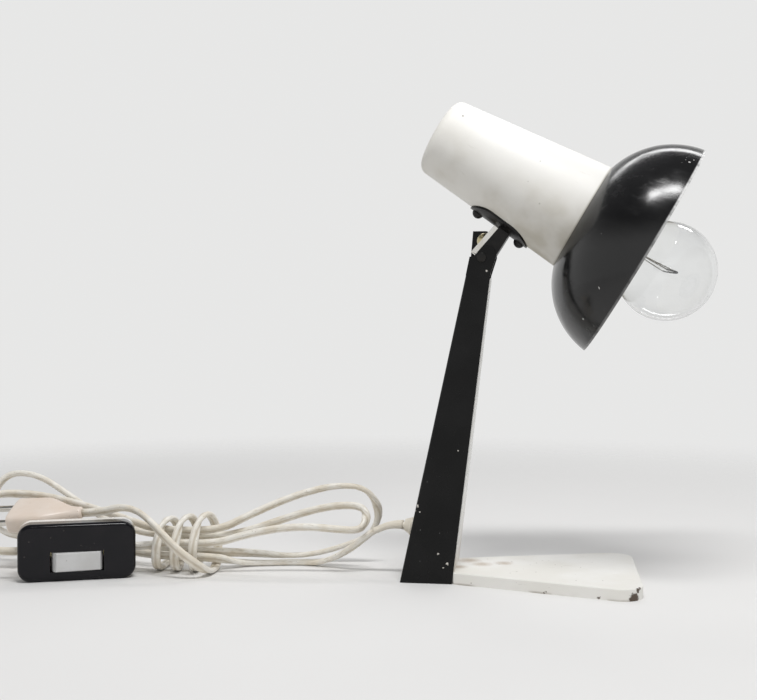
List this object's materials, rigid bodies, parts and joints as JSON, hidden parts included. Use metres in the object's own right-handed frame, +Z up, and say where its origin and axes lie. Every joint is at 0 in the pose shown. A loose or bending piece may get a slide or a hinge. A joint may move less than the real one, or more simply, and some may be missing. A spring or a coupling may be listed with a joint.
{
  "type": "bedside lamp",
  "caption": "Bedside lamp with a bell shade on a tilting head, a leaning sheet-metal column, a wedge-shaped base plate, and a hanked twin cord with an in-line switch and a flat plug.",
  "frame": {"origin": "underside of the base plate, at the middle of the column's front foot edge", "axes": "+X to the lamp's front, +Y to its left side, +Z up"},
  "size_m": [0.4674, 0.138, 0.2918],
  "materials": {
    "white_enamel": "satin",
    "black_enamel": "gloss",
    "black_steel": "satin",
    "steel": "satin",
    "nickel": "polished",
    "brass": "satin",
    "aluminium": "satin",
    "ceramic": "gloss",
    "tungsten": "satin",
    "clear_glass": "clear",
    "black_plastic": "gloss",
    "white_plastic": "gloss",
    "grey_plastic": "satin",
    "cream_plastic": "satin",
    "cord_cream": "satin"
  },
  "bodies": {
    "stand": {"base_plate": "white_enamel", "base_screws": "steel", "base_nuts": "steel", "column_shell": "black_enamel", "column_front": "white_enamel", "hinge_pin": "black_steel", "hinge_bush": "steel", "hinge_washers": "steel", "cord_grommet": "cream_plastic", "column_cord": "cord_cream", "column_cores": "cord_cream", "cord_lead": "cord_cream", "cord_hank": "cord_cream", "cord_tail": "cord_cream", "switch_front_shell": "black_plastic", "switch_back_shell": "white_plastic", "switch_screws": "steel", "rocker_pin": "steel", "switch_terminals": "brass", "plug_body": "cream_plastic", "plug_pins": "nickel"},
    "head": {"barrel": "white_enamel", "bell": "black_enamel", "saddle_plate": "black_enamel", "saddle_screws": "black_steel", "saddle_nuts": "steel", "head_bracket": "black_enamel", "clamp_leaf": "steel", "clamp_screw": "brass", "clamp_nut": "steel", "holder_strap": "steel", "holder_nipple": "brass", "nipple_nut": "steel", "holder_body": "black_plastic", "holder_ring": "black_plastic", "holder_insert": "ceramic", "holder_sleeve": "brass", "holder_contact": "brass", "bulb_glass": "clear_glass", "bulb_cap": "aluminium", "bulb_contact": "ceramic", "bulb_stem": "clear_glass", "bulb_wires": "steel", "bulb_filament": "tungsten", "head_cores": "cord_cream"},
    "rocker": {"switch_rocker": "grey_plastic"}
  },
  "joints": [
    {"name": "head_tilt", "type": "hinge", "parent": "stand", "child": "head", "pos_m": [0.01675, 0, 0.1968], "axis": [0, -1, 0], "range_deg": [-35, 50]},
    {"name": "rocker_tip", "type": "hinge", "parent": "stand", "child": "rocker", "pos_m": [-0.22874, -0.03944, 0.012], "axis": [0, 0, -1], "range_deg": [0, 10]}
  ]
}
